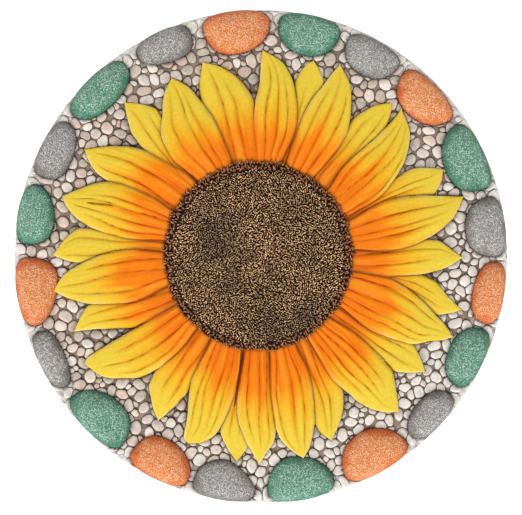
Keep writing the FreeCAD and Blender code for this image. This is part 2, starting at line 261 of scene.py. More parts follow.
class Mesh:
    """Joined closed shapes with a colour at each vertex, with or without an alpha."""

    def __init__(self):
        self.points = []
        self.colours = []
        self.faces = []
        self.count = 0

    def add(self, points, colours, faces):
        self.points.append(np.asarray(points, dtype=float))
        self.colours.append(np.asarray(colours, dtype=float))
        self.faces += [[corner + self.count for corner in face] for face in faces]
        self.count += len(points)

    def piece(self, name, material, sharp_angle):
        """Makes the shapes one piece of the stone, smooth but for edges past the sharp angle."""
        data = bpy.data.meshes.new(name)
        data.from_pydata((np.concatenate(self.points) * MM).tolist(), [], self.faces)
        data.polygons.foreach_set("use_smooth", [True] * len(data.polygons))
        data.set_sharp_from_angle(angle=math.radians(sharp_angle))
        colours = np.concatenate(self.colours)
        if colours.shape[1] == 3:
            colours = np.hstack([colours, np.ones((len(colours), 1))])
        layer = data.attributes.new("paint", "FLOAT_COLOR", "POINT")
        layer.data.foreach_set("color", colours.ravel().astype(np.float32))
        data.materials.append(material)
        data.update()
        made = placed(name, data)
        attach(made, "root")
        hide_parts(NODE)
        return made


def grid_points(x, y, z, *more):
    """The points of a grid row by row, and then single points."""
    return np.vstack([np.column_stack([x.ravel(), y.ravel(), z.ravel()]), *more])


def ring_faces(rings, segments):
    """Quads between closed rings of points that follow one another, wound outwards for rings going up."""
    faces = []
    for i in range(rings - 1):
        low = i * segments
        high = low + segments
        for j in range(segments):
            k = (j + 1) % segments
            faces.append((low + j, low + k, high + k, high + j))
    return faces


def dome_faces(rings, segments):
    """Faces of a mound: rings from its foot up, a point on top and a flat base."""
    faces = ring_faces(rings, segments)
    top = rings * segments
    last = (rings - 1) * segments
    faces += [(last + j, last + (j + 1) % segments, top) for j in range(segments)]
    faces.append(tuple(range(segments - 1, -1, -1)))
    return faces


# Materials

# A coat: roughness, gloss, mottles to a metre and their strength, sand grains to a metre and their depth
Coat = namedtuple("Coat", "roughness gloss mottles mottle grains relief")
MOTTLE_RANGE = (0.3, 0.7)
GRAIN_RANGE = (0.75, 0.25)
PALE_GRAIN_POWER = 2.2
# Sockets of a mix node that blends two colours
MIX_FIRST = 6
MIX_SECOND = 7
MIX_RESULT = 2


def set_inputs(tree, node, inputs):
    """Joins a node's inputs to the sockets, or sets them to the values, that are given."""
    for name, value in inputs.items():
        if isinstance(value, bpy.types.NodeSocket):
            tree.links.new(value, node.inputs[name])
        else:
            node.inputs[name].default_value = value


def add_node(tree, kind, inputs, operation=None):
    node = tree.nodes.new("ShaderNode" + kind)
    if operation:
        node.operation = operation
    set_inputs(tree, node, inputs)
    return node


def sand_grains(tree, place, coat, base, colour, palest):
    """Round sand grains, a few as pale as the palest: their relief and the colour with them on it. The
    paint's alpha says how sandy it is."""
    cells = add_node(tree, "TexVoronoi", {"Scale": coat.grains, "Vector": place})
    cells.voronoi_dimensions = "2D"
    split = add_node(tree, "SeparateColor", {"Color": cells.outputs["Color"]})
    dot = add_node(tree, "MapRange", {
        "From Min": GRAIN_RANGE[0], "From Max": GRAIN_RANGE[1], "Value": cells.outputs["Distance"]})
    few = add_node(tree, "Math", {0: split.outputs["Red"], 1: PALE_GRAIN_POWER}, "POWER")
    some = add_node(tree, "Math", {0: dot.outputs["Result"], 1: few.outputs["Value"]}, "MULTIPLY")
    sandy = add_node(tree, "Math", {0: some.outputs["Value"], 1: base.outputs["Alpha"]}, "MULTIPLY")
    blend = add_node(tree, "Mix", {})
    blend.data_type = "RGBA"
    set_inputs(tree, blend, {
        "Factor": sandy.outputs["Value"], MIX_FIRST: colour, MIX_SECOND: (*palest, 1.0)})
    return dot.outputs["Result"], blend.outputs[MIX_RESULT]


def painted_stone(name, coat, palest=None):
    """Matt paint on cast stone: the vertex colour, mottled, with a fine sandy relief, and with pale sand
    grains in it where the colour of the palest is given."""
    material = bpy.data.materials.new(name)
    material.use_nodes = True
    tree = material.node_tree
    place = tree.nodes.new("ShaderNodeTexCoord").outputs["Object"]
    base = tree.nodes.new("ShaderNodeAttribute")
    base.attribute_name = "paint"
    cloud = add_node(tree, "TexNoise", {"Scale": coat.mottles, "Detail": 4.0, "Vector": place})
    shade = add_node(tree, "MapRange", {
        "From Min": MOTTLE_RANGE[0], "From Max": MOTTLE_RANGE[1],
        "To Min": 1.0 - coat.mottle, "To Max": 1.0 + coat.mottle, "Value": cloud.outputs["Fac"]})
    tone = add_node(tree, "VectorMath", {
        0: base.outputs["Color"], "Scale": shade.outputs["Result"]}, "SCALE")
    colour = tone.outputs["Vector"]
    if palest is None:
        sand = add_node(tree, "TexNoise", {"Scale": coat.grains, "Detail": 3.0, "Vector": place})
        relief = sand.outputs["Fac"]
    else:
        relief, colour = sand_grains(tree, place, coat, base, colour, palest)
    bump = add_node(tree, "Bump", {"Distance": coat.relief * MM, "Strength": 1.0, "Height": relief})
    set_inputs(tree, tree.nodes["Principled BSDF"], {
        "Roughness": coat.roughness, "Specular IOR Level": coat.gloss,
        "Base Color": colour, "Normal": bump.outputs["Normal"]})
    return material


# Petal outlines, used by the petals, the bed pebbles and the wash beside them

OUTLINE_POINTS = 140
HIDDEN_TUCK = 3.5
TUCK_FADE = (72.0, 52.0)


def petal_edges(petal, radius):
    """Angles of the left and right edge of a petal at these radii. Below the front layer the root is
    wider than the part that shows, so that it fills the crease between the petals over it."""
    tip = (petal.tip[1], petal.tip[0])
    tuck = HIDDEN_TUCK * (petal.layer < LOW_FRONT) * smoothstep(*TUCK_FADE, radius)
    left = smooth_through([(r, a) for a, r in petal.left] + [tip], radius) + tuck
    right = smooth_through([(r, a) for a, r in petal.right] + [tip], radius) - tuck
    return left, right


def petal_outline(petal):
    radius = np.linspace(PETAL_ROOT, petal.tip[1], OUTLINE_POINTS)
    left, right = petal_edges(petal, radius)
    return np.column_stack(polar(np.concatenate([left, right]), np.concatenate([radius, radius])))


def inside_petal(petal, x, y):
    """True for points inside the petal's outline."""
    radius = np.hypot(x, y)
    left, right = petal_edges(petal, np.clip(radius, PETAL_ROOT, petal.tip[1]))
    off = wrapped(np.degrees(np.arctan2(y, x)) - (left + right) / 2)
    return (np.abs(off) < (left - right) / 2) & (radius < petal.tip[1])


OUTLINES = [petal_outline(petal) for petal in PETALS]


# Petals

PETAL_COAT = Coat(0.62, 0.08, 700.0, 0.07, 2600.0, 0.12)
PETAL_ROWS = 84
PETAL_COLUMNS = 61
ROW_CROWDING = 1.5
COLUMN_CROWDING = 0.8
PETAL_SINK = 1.2
LEAST_HALF_WIDTH = 0.35

# Height of the back: at each layer, along a petal from 0 at the seed head to 1 at its tip, and across it
LAYER_RISE = [3.2, 4.5, 5.9]
ROOT_LIFT = [1.45, 1.15, 1.0]
LIFT_FADE = (0.55, 0.15)
RIDGE_ALONG = ([0.0, 0.1, 0.4, 0.7, 0.9, 1.0], [0.86, 0.92, 1.0, 0.86, 0.62, 0.48])
LEAST_RISE = 1.5
CROWN_HALF_WIDTH = 11.0
CROWN_RANGE = (0.1, 1.1)
CROWN_BEND = 2.4
EDGE_DROP = 0.5
EDGE_ROUND = 0.45
RAGGED_EDGE = 0.35
RAGGED_LENGTH = 4.0
GRAIN_DEPTH = 0.22
GRAIN_WIDTH = 1.2
GRAIN_LENGTH = 9.0

# Lobes between the grooves along a petal
LOBES = {BACK: 3, MID: 3, LOW_FRONT: 4, FRONT: 4}
EXTRA_LOBE_SHARE = 0.3
LOBE_SHIFT = 0.16
LOBE_DEPTH = (0.7, 1.1)
LOBE_FLATNESS = 7.5
LOBE_ROUNDNESS = 0.7
LOBE_SHARE = 0.75
LOBE_HALF_WIDTH = 9.0
LOBE_RANGE = (0.15, 1.1)
FLANK_BEND = 2.4
GROOVE_WAVES = 2.5
GROOVE_DRIFT = 0.2
GROOVE_LENGTH = (0.7, 1.05)
GROOVE_STRENGTH = (0.35, 1.0)
GROOVE_RUN_OUT = (0.08, 0.15)
GROOVE_ALONG = ([0.0, 0.15, 0.6, 0.9, 1.0], [0.8, 1.0, 0.95, 0.6, 0.25])

# Cuts in the petals, from (angle, radius) to (angle, radius)
Cut = namedtuple("Cut", "start end half_width depth")
CUTS = [
    Cut((-197.3, 93.0), (-199.3, 79.0), 0.65, 1.0),
    Cut((-100.0, 78.0), (-100.6, 48.5), 0.7, 1.6),
]
CUT_TAPER = 4.0
CUT_END = 0.3
CUT_LEAST = 0.05

YELLOW = paint(223, 193, 60)
GOLD = paint(231, 176, 38)
ORANGE = paint(238, 128, 14)
DEEP_ORANGE = paint(232, 119, 18)
ROOT_GLOW = paint(244, 156, 40)
# Paint rubbed pale on the edges of the petals, with a painted highlight
PALE_WORN_EDGE_AND_HIGHLIGHT = paint(250, 238, 180)
# Dark wash and painted shade in the creases, darkest at the roots
PETAL_WASH_AND_SHADE = paint(104, 44, 6)
ROOT_WASH_AND_SHADE = paint(56, 22, 6)
# Dark wash and painted shade that the sides of a petal darken to at its foot in the bed
PETAL_FOOT_WASH_AND_SHADE = paint(70, 46, 32)
GROOVE_SHADE = np.array([0.40, 0.23, 0.11])
FLANK_SHADE = np.array([0.78, 0.58, 0.34])
STROKE_SHADE = np.array([0.88, 0.66, 0.45])

# Streaks of paint along a petal: how many to its half width and how long they are
WIDE_STREAKS = (5.0, 22.0)
FINE_STREAKS = (14.0, 16.0)
GLOW_STREAKS = (6.0, 26.0)
STROKE_STREAKS = (16.0, 14.0)

# How far out the orange reaches, and the radii over which one paint passes into the next
ORANGE_REACH = 66.0
REACH_SPREAD = 4
REACH_MIDDLE = 5.0
REACH_WIDE = 14.0
REACH_FINE = 7.0
BACK_REACH = 4.0
GOLD_FADE = (22.0, 4.0)
ORANGE_FADE = (10.0, -7.0)
DEEP_FADE = (66.0, 52.0)
DEEP_STREAK = 12.0
GLOW_PART = (0.45, 0.85)
GLOW_FADE = (74.0, 58.0)
GLOW_SHARE = 0.5
FLANK_SHARE = 0.75
STROKE_PART = (0.62, 0.86)
STROKE_FADE = (84.0, 60.0)
STROKE_SHARE = 0.7
# Dark paint and painted shade in the grooves
GROOVE_INSET = (0.6, 1.2)
GROOVE_DARKNESS = ([48.0, 60.0, 74.0], [0.7, 0.9, 0.95])
GROOVE_FILL = 1.1
GROOVE_BEND = 1.8
# Pale worn edges with a painted highlight
PALE_SHARE = 0.65
PALE_WIDTH = 0.5
PALE_FADE = (60.0, 80.0)
PALE_GAP = (0.5, 2.0)
PALE_PART = (0.2, 0.45)
PALE_PATCHES = Patches(6.0, 50, 5)

# Dark wash and painted shade in the creases between petals, round the seed head and in the cuts
CREASE_SHARE = 0.95
CREASE_FADE = (52.0, 72.0)
CREASE_WIDTH = ([48.0, 75.0], [1.15, 0.6])
SOFT_CREASE = 93.0
SOFT_CREASE_SHARE = 0.75
SOFT_CREASE_SPREAD = 8.0
SEED_WASH_AND_SHADE_SHARE = 0.7
SEED_WASH_AND_SHADE_WIDTH = 0.5
CUT_WASH_AND_SHADE_BEND = 0.7


def petal_lobes(rng, petal):
    """Grooves across a petal, as shares of its half width, with the depth of the lobe on each side."""
    extra = int(rng.random() < EXTRA_LOBE_SHARE)
    count = LOBES[petal.layer] + extra * (petal.layer == FRONT)
    marks = np.linspace(-1.0, 1.0, count + 1)
    marks[1:-1] += rng.uniform(-LOBE_SHIFT, LOBE_SHIFT, count - 1)
    return marks, rng.uniform(*LOBE_DEPTH, count)


def petal_relief(rng, petal, along, across, half_width):
    """Height lost to the lobes at each grid point, how much dark paint and painted shade lie in the
    groove there and how far down the flank of its lobe it is, both 0 to 1."""
    marks, depths = petal_lobes(rng, petal)
    drift = np.array([noise(along * GROOVE_WAVES + 7 * k, along * 0.0,
                            int(rng.integers(SEED_LIMIT))) - 0.5 for k in range(len(marks))])
    drift[[0, -1]] = 0.0
    length = rng.uniform(*GROOVE_LENGTH, len(marks))
    strength = rng.uniform(*GROOVE_STRENGTH, len(marks))
    lobe = np.zeros(across.shape)
    depth = np.zeros(across.shape)
    flank = np.zeros(across.shape)
    dark = np.zeros(across.shape)
    past, short = GROOVE_RUN_OUT
    for k, lobe_depth in enumerate(depths):
        low = (marks[k] + GROOVE_DRIFT * drift[k])[:, None]
        high = (marks[k + 1] + GROOVE_DRIFT * drift[k + 1])[:, None]
        t = (across - (low + high) / 2) / ((high - low) / 2)
        ends = np.where(t < 0, length[k], length[k + 1])
        reach = smoothstep(ends + past, ends - short, along[:, None])
        swell = np.clip(1.0 - np.abs(t) ** LOBE_FLATNESS, 0.0, 1.0) ** LOBE_ROUNDNESS
        swell = 1.0 - (1.0 - swell) * reach
        inside = (t >= -1.0) & (t <= 1.0)
        dark = np.where(inside, np.where(t < 0, strength[k], strength[k + 1]), dark)
        lobe = np.where(inside, swell, lobe)
        depth = np.where(inside, lobe_depth, depth)
        flank = np.where(inside, np.abs(t) ** FLANK_BEND * reach, flank)
    fade = np.interp(along, *GROOVE_ALONG)[:, None]
    lost = depth * (1.0 - LOBE_SHARE * lobe - (1.0 - LOBE_SHARE) * (1.0 - flank)) * fade
    lost = lost * np.clip(half_width / LOBE_HALF_WIDTH, *LOBE_RANGE)
    return lost, (1.0 - lobe) * fade * dark, flank * fade


def cut_share(x, y, cut):
    """How far into a cut these points lie: 1 along its middle line, 0 outside."""
    (x0, y0), (x1, y1) = polar(*cut.start), polar(*cut.end)
    run = np.array([x1 - x0, y1 - y0])
    t = ((x - x0) * run[0] + (y - y0) * run[1]) / (run @ run)
    on_line = np.clip(t, 0, 1)
    apart = np.hypot(x - x0 - on_line * run[0], y - y0 - on_line * run[1])
    taper = np.clip(CUT_TAPER * np.minimum(t, 1.0 - t) + CUT_END, CUT_LEAST, 1.0)
    return np.clip(1.0 - apart / (cut.half_width * taper), 0.0, 1.0)


def petal_height(petal, along, across, half_width, to_edge):
    """Height of the petal's smooth back above the bed."""
    rise = np.interp(petal.layer, LAYERS, LAYER_RISE)
    lift = np.interp(petal.layer, LAYERS, ROOT_LIFT)
    ridge = np.interp(along, *RIDGE_ALONG)
    ridge = ridge * (1.0 + (lift - 1.0) * smoothstep(*LIFT_FADE, along))
    ridge = np.maximum(rise * ridge, LEAST_RISE)[:, None]
    crown = np.clip(half_width / CROWN_HALF_WIDTH, *CROWN_RANGE) * np.abs(across) ** CROWN_BEND
    return ridge - crown - EDGE_DROP * np.exp(-to_edge / EDGE_ROUND)


def streaks(rng, across, radius, count, length):
    """Noise from 0 to 1 in streaks along a petal."""
    place = across * count + rng.uniform(0, 50)
    return noise(place, radius / length, int(rng.integers(SEED_LIMIT)))


def petal_colours(rng, petal, x, y, radius, across, groove, flank, to_edge, gap, wash_and_shade):
    """Airbrushed paint: yellow tips, orange towards the seed head, darker in grooves and creases with
    dark paint and painted shade.
    """
    wide = streaks(rng, across, radius, *WIDE_STREAKS) - 0.5
    fine = streaks(rng, across, radius, *FINE_STREAKS) - 0.5
    reach = ORANGE_REACH + rng.uniform(-REACH_SPREAD, REACH_SPREAD) + REACH_MIDDLE * (1 - np.abs(across))
    reach = reach + REACH_WIDE * wide + REACH_FINE * fine
    if petal.layer == BACK:
        reach = reach - BACK_REACH
    colour = mix(YELLOW, GOLD, smoothstep(*GOLD_FADE, radius - reach))
    colour = mix(colour, ORANGE, smoothstep(*ORANGE_FADE, radius - reach))
    colour = mix(colour, DEEP_ORANGE, smoothstep(*DEEP_FADE, radius + DEEP_STREAK * wide))
    glow = smoothstep(*GLOW_PART, streaks(rng, across, radius, *GLOW_STREAKS))
    colour = mix(colour, ROOT_GLOW, GLOW_SHARE * (glow * smoothstep(*GLOW_FADE, radius)))
    colour = mix(colour, colour * FLANK_SHADE, FLANK_SHARE * flank)
    stroke = smoothstep(*STROKE_PART, streaks(rng, across, radius, *STROKE_STREAKS))
    stroke = stroke * smoothstep(*STROKE_FADE, radius)
    colour = mix(colour, colour * STROKE_SHADE, STROKE_SHARE * stroke)
    # Dark paint and painted shade in the grooves, less near the edges
    dark = np.clip(GROOVE_FILL * groove, 0, 1) ** GROOVE_BEND * np.interp(radius, *GROOVE_DARKNESS)
    colour = mix(colour, colour * GROOVE_SHADE, dark * smoothstep(*GROOVE_INSET, to_edge))
    # Pale worn edges with a painted highlight, where no petal lies close over them
    pale = PALE_SHARE * np.exp(-to_edge / PALE_WIDTH)
    pale = pale * smoothstep(*PALE_FADE, radius) * smoothstep(*PALE_GAP, gap)
    colour = mix(colour, PALE_WORN_EDGE_AND_HIGHLIGHT, pale * smoothstep(*PALE_PART, patchy(PALE_PATCHES, x, y)))
    # Dark wash and painted shade in the creases, darker towards the roots
    crease_wash_and_shade = mix(ROOT_WASH_AND_SHADE, PETAL_WASH_AND_SHADE, smoothstep(*CREASE_FADE, radius))
    return mix(colour, crease_wash_and_shade, wash_and_shade)


def petal_wash_and_shade(index, x, y, angle, radius, cuts):
    """Distance to the petals level with this one or over it, and the share of dark wash and painted shade
    at each point.
    """
    layer = PETALS[index].layer
    higher = [OUTLINES[k] for k, other in enumerate(PETALS) if k != index and other.layer >= layer]
    gap = nearest(np.concatenate(higher), np.column_stack([x.ravel(), y.ravel()])).reshape(x.shape)
    seed_gap = np.clip(np.hypot(x - SEED_X, y - SEED_Y) - SEED_RADIUS, 0, None)
    soft = 1.0 - SOFT_CREASE_SHARE * np.exp(-wrapped(angle - SOFT_CREASE) ** 2 / SOFT_CREASE_SPREAD)
    width = np.interp(radius, *CREASE_WIDTH)[:, None]
    wash_and_shade = np.maximum(CREASE_SHARE * soft * np.exp(-gap / width),
                      SEED_WASH_AND_SHADE_SHARE * np.exp(-seed_gap / SEED_WASH_AND_SHADE_WIDTH))
    return gap, np.maximum(wash_and_shade, CREASE_SHARE * np.maximum.reduce(cuts) ** CUT_WASH_AND_SHADE_BEND)


def petal_shape(mesh, index):
    """One petal: a ribbed back on a grid from root to tip, closed by a foot sunk in the bed."""
    petal = PETALS[index]
    rng = np.random.default_rng(1000 + index)
    share = np.linspace(0.0, 1.0, PETAL_ROWS)
    tip = petal.tip[1]
    radius = PETAL_ROOT + (tip - PETAL_ROOT) * (1.0 - (1.0 - share) ** ROW_CROWDING)
    left, right = petal_edges(petal, radius)
    middle = (left + right) / 2
    half_angle = np.maximum((left - right) / 2, np.degrees(LEAST_HALF_WIDTH / radius))
    half_width = (np.radians(half_angle) * radius)[:, None]
    columns = np.sin(np.linspace(-1.0, 1.0, PETAL_COLUMNS) * math.pi / 2 * COLUMN_CROWDING)
    columns = columns / math.sin(math.pi / 2 * COLUMN_CROWDING)
    across = np.repeat(columns[None, :], PETAL_ROWS, axis=0)
    ragged = noise(radius / RAGGED_LENGTH, radius * 0.0 + 3.0, 300 + index) - 0.5
    ragged = RAGGED_EDGE * ragged
    angle = middle[:, None] + across * (half_angle + np.degrees(ragged / radius))[:, None]
    x, y = polar(angle, radius[:, None])

    along = np.clip((radius - SEED_RADIUS) / (tip - SEED_RADIUS), 0.0, 1.0)
    to_edge = (1.0 - np.abs(across)) * half_width
    lost, groove, flank = petal_relief(rng, petal, along, across, half_width)
    grain = noise(across * half_width / GRAIN_WIDTH + 90, radius[:, None] / GRAIN_LENGTH,
                  400 + index) - 0.5
    z = BED + petal_height(petal, along, across, half_width, to_edge) - lost + GRAIN_DEPTH * grain
    cuts = [cut_share(x, y, cut) for cut in CUTS]
    z = z - sum(part * cut.depth for part, cut in zip(cuts, CUTS))
    gap, wash_and_shade = petal_wash_and_shade(index, x, y, angle, radius, cuts)
    spread = np.broadcast_to(radius[:, None], x.shape)
    colour = petal_colours(rng, petal, x, y, spread, across, groove, flank, to_edge, gap, wash_and_shade)

    foot = np.full((PETAL_ROWS, 1), BED - PETAL_SINK)
    xs = np.hstack([x, x[:, -1:], x[:, :1]])
    ys = np.hstack([y, y[:, -1:], y[:, :1]])
    zs = np.hstack([z, foot, foot])
    # The sides darken to the foot with dark wash and painted shade
    dark = np.broadcast_to(PETAL_FOOT_WASH_AND_SHADE, (PETAL_ROWS, 2, 3))
    shades = np.concatenate([colour, dark], axis=1)
    loop = PETAL_COLUMNS + 2
    faces = [face[::-1] for face in ring_faces(PETAL_ROWS, loop)]
    faces.append(tuple(range(loop)))
    faces.append(tuple(PETAL_ROWS * loop - 1 - j for j in range(loop)))
    mesh.add(grid_points(xs, ys, zs), shades.reshape(-1, 3), faces)


def make_petals():
    material = painted_stone("petal_paint", PETAL_COAT)
    groups = {"petals_back": [BACK], "petals_middle": [MID], "petals_front": [LOW_FRONT, FRONT]}
    for name, layers in groups.items():
        mesh = Mesh()
        for index, petal in enumerate(PETALS):
            if petal.layer in layers:
                petal_shape(mesh, index)
        mesh.piece(name, material, sharp_angle=60.0)


# Seed head

SEED_COAT = Coat(0.7, 0.2, 500.0, 0.15, 3000.0, 0.10)
SEED_EDGE_RISE = 5.3
SEED_CROWN_RISE = 9.3
SEED_RING = 43.6
SEED_DARK = paint(38, 24, 19)
SEED_BROWN = paint(138, 96, 68)
SEED_TAN = paint(255, 214, 160)
SEED_GREY = paint(132, 118, 112)
SEED_SPARK = paint(255, 236, 200)

# Dome under the florets
DOME_BEND = 2.2
DOME_REACH = 1.1
DOME_SEGMENTS = 120
DOME_RINGS = 24
DOME_INSET = 0.6
DOME_TOP_INSET = 1.0
DOME_INNER = 2.0
DOME_UNDER = 0.3
DOME_SINK = 1.5
DOME_RAG = 0.012
DOME_RAG_ARC = 6.0

# One floret, with the shares of its width and height at its shoulder and its crest
FLORET_SIDES = 5
FLORET_SINK = 0.6
FLORET_SHOULDER = (0.86, 0.45)
FLORET_CREST = (0.5, 0.92)

# Florets of the middle
FLORETS = 5200
GOLDEN_ANGLE = 137.508
FLORET_OVERLAP = 0.1
FLORET_SCATTER = 0.22
FLORET_LENGTH = (0.65, 1.1)
FLORET_WIDTH = (0.26, 0.36)
FLORET_HEIGHT = (0.8, 1.6)
SWIRL_PATCHES = Patches(5.0, 60, 61)
SWIRL_TURN = 6.0
SWIRL_SCATTER = 0.6
CLOUD_PATCHES = Patches(7.0, 20, 67)
CLOUD_LEAST = 0.8
CLOUD_GAIN = 0.8
SHOULDER_LEAST = 0.35
SHOULDER_GAIN = 0.4
GREY_DIM = 0.55
GREY_MOST = 0.8
SPARK_SHARE = 0.008
SPARK_CORNER = 35.0
SPARK_GAIN = 3.0

# Greyer patches of the seed head: place, size and strength
SEED_PATCHES = [(-20.0, 6.0, 11.0, 0.6), (-22.0, 18.0, 8.0, 0.4), (24.0, -30.0, 10.0, 0.6),
                (6.0, -36.0, 8.0, 0.5), (-14.0, -18.0, 6.0, 0.4), (14.0, 34.0, 7.0, 0.35)]

# Buds of the ring round the middle
RING_BUDS = 700
RING_DARK = paint(40, 25, 20)
RING_BROWN = paint(146, 92, 64)
RING_START = 1.1
RING_STEP = 1.5
RING_TURN_SCATTER = 0.4
RING_SCATTER = 0.35
CLUMP_ARC = 7.0
CLUMP_PUSH = 2.0
CLUMP_LIFT = 0.9
BUD_LENGTH = (0.8, 1.5)
BUD_WIDTH = (0.38, 0.62)
BUD_HEIGHT = (0.9, 1.5)
BUD_LEAN = 0.35
BUD_TURN_SCATTER = 0.8
BUD_TAN = 0.35
BUD_SHOULDER_LEAST = 0.25
BUD_SHOULDER_GAIN = 0.4


def seed_level(distance):
    """Height of the seed head's dome above the bed at this distance from its centre."""
    share = np.clip(distance / SEED_RADIUS, 0.0, DOME_REACH)
    return SEED_EDGE_RISE + (SEED_CROWN_RISE - SEED_EDGE_RISE) * (1.0 - share ** DOME_BEND)


def seed_dome(mesh):
    """The dark dome that the florets stand on."""
    slope = np.linspace(SEED_RADIUS - DOME_TOP_INSET, DOME_INNER, DOME_RINGS)
    distance = np.concatenate([[SEED_RADIUS - DOME_INSET] * 2, slope])
    level = seed_level(distance) + BED - DOME_UNDER
    level[0] = BED - DOME_SINK
    turn = turn_degrees(DOME_SEGMENTS)
    rag = 1.0 + DOME_RAG * (noise(turn / DOME_RAG_ARC, turn * 0.0, 71) - 0.5)
    x, y = polar(turn[None, :], distance[:, None] * rag[None, :])
    z = np.repeat(level[:, None], DOME_SEGMENTS, axis=1)
    top = [SEED_X, SEED_Y, BED + SEED_CROWN_RISE - DOME_UNDER]
    points = grid_points(x + SEED_X, y + SEED_Y, z, top)
    mesh.add(points, np.broadcast_to(SEED_DARK, points.shape), dome_faces(len(distance), DOME_SEGMENTS))


def floret(mesh, place, heading, half, high, lean, colours):
    """One short ridge standing on the dome: its foot, its shoulder and a small crest."""
    around = turn_radians(FLORET_SIDES)
    ring = np.column_stack([half[0] * np.cos(around), half[1] * np.sin(around)])
    rows = [np.column_stack([ring, np.full(FLORET_SIDES, -FLORET_SINK)])]
    for width, height in (FLORET_SHOULDER, FLORET_CREST):
        rows.append(np.column_stack([width * ring, np.full(FLORET_SIDES, height * high)]))
    local = np.vstack([*rows, [[0.0, 0.0, high]]])
    local[:, 0] += lean * local[:, 2]
    c, s = math.cos(heading), math.sin(heading)
    level = BED + float(seed_level(np.hypot(*place)))
    points = np.column_stack([SEED_X + place[0] + local[:, 0] * c - local[:, 1] * s,
                              SEED_Y + place[1] + local[:, 0] * s + local[:, 1] * c,
                              level + local[:, 2]])
    shades = np.vstack([np.repeat(colours, FLORET_SIDES, axis=0), colours[-1]])
    mesh.add(points, shades, dome_faces(len(rows), FLORET_SIDES))


def disc_florets(mesh, rng):
    """Florets of the middle, close together and flowing outwards, tan on top and dark between."""
    for index in range(FLORETS):
        distance = (SEED_RING + FLORET_OVERLAP) * math.sqrt((index + 0.5) / FLORETS)
        x, y = polar(index * GOLDEN_ANGLE, distance)
        place = np.array([x, y]) + rng.normal(0.0, FLORET_SCATTER, 2)
        swirl = SWIRL_TURN * (patchy(SWIRL_PATCHES, place[:1], place[1:])[0] - 0.5)
        turn = math.atan2(y, x) + swirl + rng.normal(0.0, SWIRL_SCATTER)
        half = (rng.uniform(*FLORET_LENGTH), rng.uniform(*FLORET_WIDTH))
        tone = rng.random()
        cloud = patchy(CLOUD_PATCHES, place[:1], place[1:])[0]
        crest = mix(SEED_BROWN, SEED_TAN, tone) * (CLOUD_LEAST + CLOUD_GAIN * cloud)
        shoulder = mix(SEED_DARK, SEED_BROWN, SHOULDER_LEAST + SHOULDER_GAIN * tone)
        grey = sum(share * math.exp(-((place[0] - px) ** 2 + (place[1] - py) ** 2) / size ** 2)
                   for px, py, size, share in SEED_PATCHES)
        crest = mix(crest, SEED_GREY * GREY_DIM, min(grey, GREY_MOST))
        if rng.random() < SPARK_SHARE * (1.0 + SPARK_GAIN * (place[1] - place[0] > SPARK_CORNER)):
            crest = SEED_SPARK
        floret(mesh, place, turn, half, rng.uniform(*FLORET_HEIGHT), 0.0, (SEED_DARK, shoulder, crest))


def ring_florets(mesh, rng):
    """Larger, redder buds in clumps round the edge that lean out over the petals in a ragged rim."""
    for index in range(RING_BUDS):
        row = index % 3
        turn = index * 360.0 / RING_BUDS + rng.normal(0.0, RING_TURN_SCATTER)
        clump = noise(np.array([turn / CLUMP_ARC]), np.array([0.5]), 63)[0] - 0.5
        distance = SEED_RING + RING_START + RING_STEP * row + CLUMP_PUSH * clump
        distance = distance + rng.normal(0.0, RING_SCATTER)
        x, y = polar(turn, distance)
        half = (rng.uniform(*BUD_LENGTH), rng.uniform(*BUD_WIDTH))
        tone = rng.random() ** 2
        crest = mix(RING_BROWN, SEED_TAN, BUD_TAN * tone)
        shoulder = mix(RING_DARK, RING_BROWN, BUD_SHOULDER_LEAST + BUD_SHOULDER_GAIN * tone)
        heading = math.radians(turn) + rng.normal(0.0, BUD_TURN_SCATTER)
        high = rng.uniform(*BUD_HEIGHT) + CLUMP_LIFT * (clump + 0.5)
        floret(mesh, np.array([x, y]), heading, half, high, BUD_LEAN, (RING_DARK, shoulder, crest))


def make_seed_head():
    material = painted_stone("seed_paint", SEED_COAT)
    mesh = Mesh()
    seed_dome(mesh)
    rng = np.random.default_rng(11)
    disc_florets(mesh, rng)
    ring_florets(mesh, rng)
    mesh.piece("seed_head", material, sharp_angle=70.0)


# Rim pebbles

PEBBLE_COAT = Coat(0.75, 0.15, 1600.0, 0.25, 2200.0, 0.16)
PEBBLE_RISE = 6.2
PEBBLE_SINK = 1.2
PEBBLE_MID_RADIUS = 119.5
PEBBLE_OUTER_FILL = 2.8
PEBBLE_OVERHANG = 0.4
PEBBLE_INSET = 0.5
PEBBLE_SPREAD = 1.018
PEBBLE_RINGS = 20
PEBBLE_SEGMENTS = 72
PEBBLE_OUTLINE_POINTS = 90
PEBBLE_CENTRE_SHIFT = 1.0
PEBBLE_TOP_RING = 0.04
PEBBLE_SWELL = 2.6
DENT_DEPTH = 0.8
DENTS = Patches(7.0, 40, 500)
PEBBLE_PATCHES = Patches(5.0, 0, 600)

# Where the paint turns, with painted shade, to that of the edge, where painted shade darkens the edge,
# and where the sand thins out
EDGE_PAINT_AND_SHADE = (0.65, 1.0)
EDGE_PATCHES = 0.4
EDGE_SHADE = (0.93, 0.985)
EDGE_SHADE_SHARE = 0.9
EDGE_SHADE_DARKEST = 0.25
SAND_FADE = (0.66, 1.0)
SAND_PATCHES = 0.3
SAND_LOST = 0.75

# Paint of the middle, lighter with a painted highlight, and of the edge, deeper and with painted shade,
# and the palest sand grains in it
PEBBLE_PAINT = {
    "green": (paint(76, 130, 106), paint(60, 118, 94), paint(218, 236, 226)),
    "orange": (paint(216, 120, 54), paint(208, 98, 40), paint(255, 228, 196)),
    "grey": (paint(132, 129, 126), paint(116, 112, 108), paint(240, 237, 234)),
}


